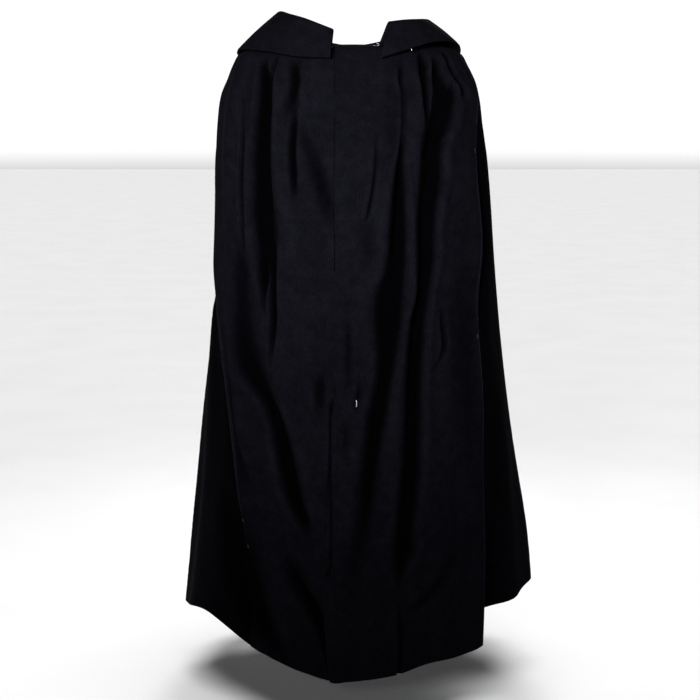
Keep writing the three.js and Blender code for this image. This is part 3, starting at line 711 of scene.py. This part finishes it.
def spread_angles(start, end, count, at):
    """Angles of evenly crowded columns from one edge to the other, for each row."""
    share = np.linspace(0, 1, SPREAD_STEPS + 1)
    angles = lerp(start, end, share[None, :])
    middles = (angles[:, 1:] + angles[:, :-1]) / 2
    crowding = np.ones_like(middles)
    for trough in TROUGHS:
        place, depth, width = trough(at)
        reach = wrap(middles - place) * mm_per_degree(place, at) / (CROWDING_REACH * width)
        crowding += CROWDING * np.minimum(depth / CROWDED_DEPTH, 1) * np.exp(-reach * reach)
    lengths = crowding * mm_per_degree(middles, at)
    sums = np.concatenate([np.zeros_like(at), np.cumsum(lengths, axis=1)], axis=1)
    wanted = np.linspace(0, 1, count)
    return np.array([np.interp(wanted * line[-1], line, row) for line, row in zip(sums, angles)])


def beside_edge(edge, inward, steps, at):
    return edge + np.sign(inward - edge) * steps / mm_per_degree(edge, at)


def with_edge_columns(angles, at):
    """Adds the close columns in which the cloth's edge rounds over, and gives each column's distance in."""
    steps = np.array(EDGE_STEPS)
    first = beside_edge(angles[:, :1], angles[:, 1:2], steps, at)
    last = beside_edge(angles[:, -1:], angles[:, -2:-1], steps, at)
    inside = np.full(angles.shape[1] - 2, EDGE_STEPS[-1] * 2)
    columns = np.concatenate([first, angles[:, 1:-1], last[:, ::-1]], axis=1)
    return columns, np.concatenate([steps, inside, steps[::-1]])


def painted_edge_highlight(side, angle, at):
    """How far a front's edge at a side seam gets a painted highlight, 1 at the edge."""
    inward = in_from_seam(side, angle, at)
    down = ease(at / EDGE_HIGHLIGHT_FROM) * (1 - ease((at - EDGE_HIGHLIGHT_TO[side]) / EDGE_HIGHLIGHT_END))
    return (1 - ease((inward - EDGE_HIGHLIGHT_WIDTH) / EDGE_HIGHLIGHT_FADE)) * down


def back_shade(angle, at):
    """Painted shade on the back where it falls away under the fronts' edges."""
    inward = np.minimum(in_from_seam("right", angle, at), in_from_seam("left", angle, at))
    return BACK_SHADE * (1 - ease(inward / BACK_SHADE_REACH)) * ease(at / BACK_SHADE_FROM)


def rows_down(count):
    """The panels' rows, close together at the neckline and hem, and how far each lies from that edge."""
    steps = np.array(EDGE_STEPS) / LENGTH_DOWN
    inside = np.linspace(0, 1, count)[1:-1]
    rows = np.concatenate([steps, inside, 1 - steps[::-1]])
    distance = np.minimum(rows, 1 - rows) * LENGTH_DOWN
    return rows[:, None], distance[:, None]


def half_thickness(thickness, distance):
    """Half of the cloth's thickness, which rounds off towards an edge."""
    t = np.clip(distance / EDGE_ROUND, 0, 1)
    return thickness / 2 * (THIN_EDGE + (1 - THIN_EDGE) * np.sqrt(1 - (1 - t) ** 2))


def sheet_mesh(name, outer, inner):
    """A closed sheet between an outer and an inner grid of points in millimetres."""
    rows, columns = outer.shape[:2]
    points = np.concatenate([outer.reshape(-1, 3), inner.reshape(-1, 3)]) * MM
    index = np.arange(rows * columns).reshape(rows, columns)
    under = index + rows * columns

    def quads(grid):
        corners = [grid[:-1, :-1], grid[1:, :-1], grid[1:, 1:], grid[:-1, 1:]]
        return np.stack(corners, axis=-1).reshape(-1, 4)

    def strip(line, below):
        return np.stack([line[:-1], line[1:], below[1:], below[:-1]], axis=-1)

    faces = np.concatenate(
        [
            quads(index),
            quads(under)[:, ::-1],
            strip(index[0], under[0]),
            strip(index[-1], under[-1])[:, ::-1],
            strip(index[:, 0], under[:, 0])[:, ::-1],
            strip(index[:, -1], under[:, -1]),
        ]
    )
    mesh = bpy.data.meshes.new(name)
    mesh.from_pydata(points.tolist(), [], faces.tolist())
    mesh.shade_smooth()
    mesh.update()
    return mesh


def panel(name, side, point, start, end, rows, columns):
    """One cut panel of the cloak, from its start edge to its end edge in every row."""
    at, row_distance = rows_down(rows)
    angles = spread_angles(start(at), end(at), columns, at)
    angles, column_distance = with_edge_columns(angles, at)
    outer = point(angles, at)
    normal = normal_of(cloth_point, angles, at)
    middle = outer - normal * CLOTH / 2
    half = half_thickness(CLOTH, np.minimum(row_distance, column_distance))[..., None]
    mesh = sheet_mesh(name, middle + normal * half, middle - normal * half)
    # Painted shade in the folds and on the back by the side seams, painted highlights on the ridges and the
    # fronts' edges
    hollow = np.clip(trough_depth(angles, at) / HOLLOW_FULL, HOLLOW_LEAST, 1)
    if side == "back":
        hollow = hollow + back_shade(angles, at)
    else:
        hollow = lerp(hollow, EDGE_HIGHLIGHT, painted_edge_highlight(side, angles, at))
    set_painted_shading(mesh, np.tile(np.clip(hollow, EDGE_HIGHLIGHT, 1).ravel(), 2))
    return mesh


def set_painted_shading(mesh, values):
    """Stores how deep in a fold each point lies, for the painted shade and highlights in the wool's colour.
    """
    attribute = mesh.attributes.new("hollow", "FLOAT", "POINT")
    attribute.data.foreach_set("value", values.astype(np.float32))


def collar_foot(turn):
    """The two lines of the collar's foot on the neckline: nearer the neck, and further out."""
    angle = wrap(-turn)
    neck = neckline_point(angle, NECKLINE)
    below = neckline_point(angle, BELOW_NECKLINE)
    out = unit(below - neck)
    inner = neck + normal_of(cloth_point, angle, NECKLINE) * FOOT_GAP
    return inner, inner + out * COLLAR_CLOTH


def neckline_point(angle, at):
    front = (angle < SEAMS("right", 0)) & (angle > SEAMS("left", 0))
    side = np.where((angle > 0)[:, None], front_right_point(angle, at), front_left_point(angle, at))
    return np.where(front[:, None], side, back_point(angle, at))


def collar_middle(turn):
    """The middle of the collar's cloth from its foot over the roll to its edge, for each turn."""
    inner, outer = collar_foot(turn)
    start = (inner + outer) / 2
    roll = np.stack([COLLAR(name, turn) for name in ("roll_x", "roll_y", "roll_z")], axis=-1)
    edge = np.stack([COLLAR(name, turn) for name in ("edge_x", "edge_y", "edge_z")], axis=-1)
    rising = unit(roll - start)
    falling = unit(edge - roll)
    crest = unit(rising - falling)
    onward = unit(rising + falling)
    half_turn = np.arccos(np.clip((rising * falling).sum(axis=-1), -1, 1)) / 2
    arc = []
    for share in np.linspace(-1, 1, ROLL_STEPS + 1):
        turned = (half_turn * share)[:, None]
        arc.append(roll + crest * ROLL_RADIUS * (np.cos(turned) - 1) + onward * ROLL_RADIUS * np.sin(turned))
    stand = [lerp(start, arc[0], i / STAND_STEPS) for i in range(STAND_STEPS)]
    out = unit(edge * np.array([1, 1, 0]))
    fall = []
    for t in np.linspace(0, 1, FALL_STEPS + 1)[1:]:
        fall.append(lerp(arc[-1], edge, t) + out * FALL_BULGE * np.sin(math.pi * t))
    return np.stack(stand + arc + fall)


def grid_normals(points):
    """Normals of a grid of points, from its neighbours."""
    down = np.gradient(points, axis=0)
    across = np.gradient(points, axis=1)
    return unit(np.cross(down, across))


def collar_mesh(name):
    turns = np.linspace(COLLAR_END, COLLAR_START, COLLAR_COLUMNS)
    middle = collar_middle(turns)
    normal = grid_normals(middle)
    lengths = np.linalg.norm(np.diff(middle, axis=0), axis=-1)
    below = np.concatenate([np.cumsum(lengths[::-1], axis=0)[::-1], np.zeros((1, len(turns)))])
    steps = np.linalg.norm(np.diff(middle, axis=1), axis=-1)
    from_start = np.concatenate([np.zeros((len(middle), 1)), np.cumsum(steps, axis=1)], axis=1)
    from_end = from_start[:, -1:] - from_start
    distance = np.minimum(below, np.minimum(from_start, from_end))
    half = half_thickness(COLLAR_CLOTH, distance / COLLAR_EDGE_WIDER)[..., None]
    return sheet_mesh(name, middle + normal * half, middle - normal * half)


def set_stops(color_ramp, stops):
    """Gives a colour ramp its stops, each a place and a colour."""
    first, *between, last = stops
    for element, (place, color) in zip(color_ramp.elements, (first, last)):
        element.position = place
        element.color = color
    for place, color in between:
        color_ramp.elements.new(place).color = color


class Paint:
    """A material that gets its colour and relief from noise."""

    def __init__(self, name):
        self.material = bpy.data.materials.new(name)
        self.material.use_nodes = True
        self.nodes = self.material.node_tree.nodes
        self.links = self.material.node_tree.links
        self.surface = self.nodes["Principled BSDF"].inputs
        self.coordinates = self.nodes.new("ShaderNodeTexCoord").outputs["Object"]

    def noise(self, scale, detail, stretch=(1, 1, 1)):
        mapping = self.nodes.new("ShaderNodeMapping")
        mapping.inputs["Scale"].default_value = stretch
        self.links.new(self.coordinates, mapping.inputs["Vector"])
        texture = self.nodes.new("ShaderNodeTexNoise")
        texture.inputs["Scale"].default_value = scale
        texture.inputs["Detail"].default_value = detail
        self.links.new(mapping.outputs["Vector"], texture.inputs["Vector"])
        return texture.outputs["Fac"]

    def ramp(self, value, stops):
        between = self.nodes.new("ShaderNodeValToRGB")
        set_stops(between.color_ramp, stops)
        self.links.new(value, between.inputs["Fac"])
        return between.outputs["Color"]

    def mixed(self, kind, share, first, second):
        mix = self.nodes.new("ShaderNodeMix")
        mix.data_type = "RGBA"
        mix.blend_type = kind
        mix.inputs["Factor"].default_value = share
        self.links.new(first, mix.inputs["A"])
        self.links.new(second, mix.inputs["B"])
        return mix.outputs["Result"]

    def link(self, value, socket):
        self.links.new(value, self.surface[socket])

    def set(self, values):
        for socket, value in values.items():
            self.surface[socket].default_value = value


def wool_material():
    paint = Paint("wool")
    noises = {name: paint.noise(**row) for name, row in WOOL_NOISE.items()}
    color = paint.ramp(noises["mottle"], WOOL_TONES)
    for tone in (
        painted_shading_tone(paint),
        paint.ramp(noises["fibre"], WOOL_FLECKS),
        paint.ramp(noises["patches"], WOOL_PATCHES),
    ):
        color = paint.mixed("MULTIPLY", 1, color, tone)
    paint.link(color, "Base Color")
    paint.set(WOOL_SURFACE)
    bump = paint.nodes.new("ShaderNodeBump")
    bump.inputs["Strength"].default_value = NAP_STRENGTH
    bump.inputs["Distance"].default_value = NAP_HEIGHT
    paint.links.new(paint.mixed("MIX", NAP_SHARE, noises["fibre"], noises["nap"]), bump.inputs["Height"])
    paint.link(bump.outputs["Normal"], "Normal")
    return paint.material


def painted_shading_tone(paint):
    """Painted light and shade in the wool's colour: painted highlights on edges and ridges, painted shade
    deep in the folds.
    """
    hollow = paint.nodes.new("ShaderNodeAttribute")
    hollow.attribute_name = "hollow"
    depth = paint.nodes.new("ShaderNodeMapRange")
    depth.inputs["From Min"].default_value = EDGE_HIGHLIGHT
    paint.links.new(hollow.outputs["Fac"], depth.inputs["Value"])
    stops = [((place - EDGE_HIGHLIGHT) / (1 - EDGE_HIGHLIGHT), color) for place, color in WOOL_PAINTED_SHADING]
    return paint.ramp(depth.outputs["Result"], stops)


def thread_material(name, tones):
    paint = Paint(name)
    paint.link(paint.ramp(paint.noise(**THREAD_NOISE), tones), "Base Color")
    paint.set(THREAD_SURFACE)
    return paint.material


def steel_material():
    """Brushed steel wire, a little duller where it has been handled."""
    paint = Paint("steel")
    wear = paint.noise(**STEEL_NOISE)
    paint.link(paint.ramp(wear, STEEL_TONES), "Base Color")
    paint.link(paint.ramp(wear, STEEL_ROUGHNESS), "Roughness")
    paint.set({"Metallic": 1})
    return paint.material


def floor_material():
    paint = Paint("floor")
    paint.link(paint.ramp(paint.noise(**FLOOR_NOISE), FLOOR_TONES), "Base Color")
    paint.set({"Roughness": FLOOR_ROUGHNESS})
    return paint.material


def place_object(name, data):
    placed = bpy.data.objects.new(name, data)
    bpy.context.scene.collection.objects.link(placed)
    return placed


def place_piece(name, mesh, material):
    piece = place_object(name, mesh)
    mesh.materials.append(material)
    return piece


def add_camera():
    camera = bpy.data.cameras.new("camera")
    camera.sensor_width = SENSOR
    camera.lens = SENSOR * FOCAL_PIXELS / PHOTO_WIDTH
    holder = place_object("camera", camera)
    holder.location = CAMERA_PLACE
    holder.rotation_euler = (math.radians(90) - CAMERA_PITCH, 0, 0)
    bpy.context.scene.camera = holder


def add_lights():
    for row in LIGHTS:
        light = bpy.data.lights.new(row["name"], "AREA")
        light.shape = "DISK"
        light.size = row["size"]
        light.spread = math.radians(row["spread"])
        light.energy = row["power"]
        holder = place_object(row["name"], light)
        holder.location = row["place"]
        direction = Vector(row["aim"]) - Vector(row["place"])
        holder.rotation_euler = direction.to_track_quat("-Z", "Y").to_euler()


def add_overhead(floor):
    """A soft light from above that falls on the floor alone."""
    sun = bpy.data.lights.new("overhead", "SUN")
    sun.energy = OVERHEAD_STRENGTH
    sun.angle = math.radians(OVERHEAD_SOFTNESS)
    holder = place_object("overhead", sun)
    receivers = bpy.data.collections.new("floor_light")
    receivers.objects.link(floor)
    holder.light_linking.receiver_collection = receivers


def add_world():
    """A studio that is bright in a band round the horizon."""
    world = bpy.data.worlds.new("studio")
    world.use_nodes = True
    nodes = world.node_tree.nodes
    links = world.node_tree.links
    apart = nodes.new("ShaderNodeSeparateXYZ")
    links.new(nodes.new("ShaderNodeTexCoord").outputs["Generated"], apart.inputs["Vector"])
    height = nodes.new("ShaderNodeMapRange")
    height.inputs["From Min"].default_value = -1
    links.new(apart.outputs["Z"], height.inputs["Value"])
    levels = nodes.new("ShaderNodeValToRGB")
    stops = [((place + 1) / 2, (level, level, level, 1)) for place, level in STUDIO_LEVELS]
    set_stops(levels.color_ramp, stops)
    links.new(height.outputs["Result"], levels.inputs["Fac"])
    links.new(levels.outputs["Color"], nodes["Background"].inputs["Color"])
    bpy.context.scene.world = world
    bpy.context.scene.view_settings.view_transform = "Standard"


def add_floor():
    mesh = bpy.data.meshes.new("floor")
    half = FLOOR_SIZE / 2
    corners = [(-half, -half, 0), (half, -half, 0), (half, half, 0), (-half, half, 0)]
    mesh.from_pydata(corners, [], [(0, 1, 2, 3)])
    floor = place_piece("floor", mesh, floor_material())
    floor.location.z = FLOOR_LEVEL
    floor.visible_diffuse = False
    return floor


def front_edge(at):
    return angle_at_x(VENT("edge", at), at)


def underlap_edge(at):
    return angle_at_x(UNDERLAP_EDGE, at)


def left_seam(at):
    return SEAMS("left", at)


def right_seam(at):
    return SEAMS("right", at)


def back_right_edge(at):
    return seam_places("right", at)[1]


def back_left_edge(at):
    return seam_places("left", at)[1] + 360


def add_cloth(material):
    panels = [
        ("front_left", "left", front_left_point, left_seam, underlap_edge, PANEL_ROWS, FRONT_COLUMNS),
        ("front_right", "right", front_right_point, front_edge, right_seam, PANEL_ROWS, FRONT_COLUMNS),
        ("back", "back", back_point, back_right_edge, back_left_edge, BACK_ROWS, BACK_COLUMNS),
    ]
    pieces = {}
    for node, side, point, start, end, rows, columns in panels:
        name = node + "_cloth"
        pieces[node] = place_piece(name, panel(name, side, point, start, end, rows, columns), material)
    pieces["collar"] = place_piece("collar_cloth", collar_mesh("collar_cloth"), material)
    for node, piece in pieces.items():
        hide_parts(node)
        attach(piece, "root")
    return pieces


def rings_round(places, across, over, radius, sides):
    """Rings of points round places, each in the plane of two directions."""
    turns = np.linspace(0, 2 * math.pi, sides, endpoint=False)[:, None]
    spokes = np.cos(turns) * across[..., None, :] + np.sin(turns) * over[..., None, :]
    return places[..., None, :] + radius[..., None, None] * spokes


def tube_mesh(name, rings):
    """Tubes closed at both ends, each through its own row of rings."""
    index = np.arange(rings[..., 0].size).reshape(rings.shape[:-1])
    onward = np.roll(index, -1, axis=2)
    walls = np.stack([index[:, :-1], index[:, 1:], onward[:, 1:], onward[:, :-1]], axis=-1)
    faces = [*walls.reshape(-1, 4).tolist(), *index[:, 0].tolist(), *index[:, -1, ::-1].tolist()]
    mesh = bpy.data.meshes.new(name)
    mesh.from_pydata((rings.reshape(-1, 3) * MM).tolist(), [], faces)
    mesh.shade_smooth()
    return mesh


def stitched_line(points, normals):
    """Stitches in a row along a line of points: the ends and middle of each, and the way out there."""
    steps = np.linalg.norm(np.diff(points, axis=0), axis=1)
    length = np.concatenate([[0], np.cumsum(steps)])
    starts = np.arange(STITCH_PITCH, length[-1] - STITCH_PITCH, STITCH_PITCH)
    places = starts[:, None] + np.array([0, STITCH_LENGTH / 2, STITCH_LENGTH])
    on_line = np.stack([np.interp(places, length, points[:, i]) for i in range(3)], axis=-1)
    out = unit(np.stack([np.interp(places, length, normals[:, i]) for i in range(3)], axis=-1))
    return on_line + out * np.array(STITCH_ARCH)[:, None], out


def panel_line(point, angle, at):
    return stitched_line(point(angle, at), normal_of(cloth_point, angle, at))


def panel_lines():
    """Stitched lines inside the front edge, the fronts' edges at the side seams, and the hems."""
    down = np.linspace(*SEAM_DOWN, SEAM_POINTS)
    across = np.linspace(0, 1, SEAM_POINTS)
    hem = np.full(SEAM_POINTS, 1 - HEM_IN / LENGTH_DOWN)
    return [
        panel_line(front_right_point, angle_at_x(VENT("edge", down) + SEAM_IN, down), down),
        panel_line(front_left_point, left_seam(down) + SEAM_IN / seam_places("left", down)[2], down),
        panel_line(front_right_point, right_seam(down) - SEAM_IN / seam_places("right", down)[2], down),
        panel_line(front_right_point, lerp(front_edge(hem), right_seam(hem), across), hem),
        panel_line(front_left_point, lerp(left_seam(hem), front_edge(hem), across), hem),
        panel_line(back_point, lerp(back_right_edge(hem), back_left_edge(hem), across), hem),
    ]


def collar_lines():
    """Stitched lines inside the collar's lower edge and its two ends."""
    middle = collar_middle(np.linspace(COLLAR_END, COLLAR_START, COLLAR_COLUMNS))
    normal = grid_normals(middle)
    face = middle + normal * COLLAR_CLOTH / 2
    low = -1 - COLLAR_SEAM_STEPS_IN["edge"]
    ends = COLLAR_SEAM_STEPS_IN["ends"]
    lines = [stitched_line(face[low], normal[low])]
    for column in (ends, -1 - ends):
        lines.append(stitched_line(face[STAND_STEPS:low, column], normal[STAND_STEPS:low, column]))
    return lines


def tack_stitches(side, middle):
    point = front_left_point if side == "left" else front_right_point
    inward = 1 if side == "left" else -1
    at = middle + (np.arange(TACK_STITCHES) - TACK_STITCHES / 2) * TACK_PITCH / LENGTH_DOWN
    edge, _, scale = seam_places(side, at)
    angles = [edge + inward * distance / scale for distance in TACK_ACROSS]
    places = np.stack([point(angle, at) for angle in angles], axis=1)
    out = np.stack([normal_of(cloth_point, angle, at) for angle in angles], axis=1)
    return places + out * np.array(STITCH_ARCH)[:, None], out


def thread_mesh(name, lines):
    radius = STITCH_THICK / 2 * np.array(STITCH_TAPER)
    rings = []
    for places, out in lines:
        along = unit(places[:, -1] - places[:, 0])[:, None, :]
        rings.append(rings_round(places, unit(np.cross(along, out)), out, radius, STITCH_SIDES))
    return tube_mesh(name, np.concatenate(rings))


def add_stitching():
    tacks = [tack_stitches(side, middle) for side, middle in TACKS]
    threads = [
        ("stitching", panel_lines() + collar_lines(), thread_material("seam_thread", SEAM_THREAD)),
        ("bar_tacks", tacks, thread_material("tack_thread", TACK_THREAD)),
    ]
    for name, lines, material in threads:
        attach(place_piece(name, thread_mesh(name, lines), material), "root")


def smooth_path(points, steps):
    """Points evenly spread along a smooth curve through the given ones."""
    given = np.array(points, float)
    padded = np.concatenate([[2 * given[0] - given[1]], given, [2 * given[-1] - given[-2]]])
    places = np.linspace(0, len(given) - 1, steps)
    first = np.minimum(places.astype(int), len(given) - 2)
    u = (places - first)[:, None]
    a, b, c, d = (padded[first + i] for i in range(4))
    bend = 2 * a - 5 * b + 4 * c - d
    twist = 3 * b - a - 3 * c + d
    return (2 * b + (c - a) * u + bend * u**2 + twist * u**3) / 2


def wire_mesh(name, points, thickness):
    """A bent wire that narrows at its ends, along a smooth path of points."""
    path = smooth_path(points, WIRE_STEPS)
    along = unit(np.gradient(path, axis=0))
    side = unit(np.cross(along, np.array([0.0, 1.0, 0.0])))
    radius = np.full(WIRE_STEPS, thickness / 2)
    radius[[0, -1]] *= WIRE_END
    return tube_mesh(name, rings_round(path, side, np.cross(side, along), radius, WIRE_SIDES)[None])


def hook_points():
    lie = WIRE / 2 + GAP
    return [(share * HOOK_LENGTH, aside, lie + above) for share, aside, above in HOOK_SHAPE]


def bar_points():
    low = BAR_WIRE / 2 + GAP
    half = BAR_HEIGHT / 2
    return [
        (-half, 0, low),
        (-half * BAR_SHOULDER, 0, BAR_STAND),
        (0, 0, BAR_STAND + BAR_CROWN),
        (half * BAR_SHOULDER, 0, BAR_STAND),
        (half, 0, low),
    ]


def settle(piece, place, along, out):
    """Puts a piece whose own X runs along a direction and whose own Z points out of the cloth."""
    z = Vector(out).normalized()
    y = z.cross(Vector(along)).normalized()
    x = y.cross(z)
    turned = Matrix((x, y, z)).transposed().to_4x4()
    piece.data.transform(Matrix.Translation(Vector(place) * MM) @ turned)


def on_front(piece, spot):
    at = np.array([spot["at"]])
    angle = angle_at_x(spot["x"], at)
    place = front_right_point(angle, at)[0]
    settle(piece, place, spot["along"], normal_of(front_right_point, angle, at)[0])


def under_collar(piece, spot):
    """Puts a piece on the collar's under side, so that it points down past the lower edge."""
    turns = np.array([spot["turn"], spot["turn"] + COLLAR_TURN_STEP])
    middle = collar_middle(turns)
    edge = middle[-1, 0]
    down = unit(edge - middle[-2, 0])
    under = unit(np.cross(middle[-1, 1] - edge, down))
    under = under * np.sign(under[1])
    settle(piece, edge - down * spot["inside"] + under * (COLLAR_CLOTH / 2 + GAP), down, under)


def add_fasteners(material):
    fasteners = [
        ("neck_hook", hook_points(), WIRE, on_front, NECK_HOOK),
        ("front_bar", bar_points(), BAR_WIRE, on_front, FRONT_BAR),
        ("collar_hook", hook_points(), WIRE, under_collar, COLLAR_HOOK),
    ]
    for node, points, thickness, put, spot in fasteners:
        name = node + "_wire"
        piece = place_piece(name, wire_mesh(name, points, thickness), material)
        put(piece, spot)
        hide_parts(node)
        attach(piece, "root")


add_camera()
add_world()
add_lights()
add_overhead(add_floor())
cloth_pieces = add_cloth(wool_material())
add_stitching()
add_fasteners(steel_material())
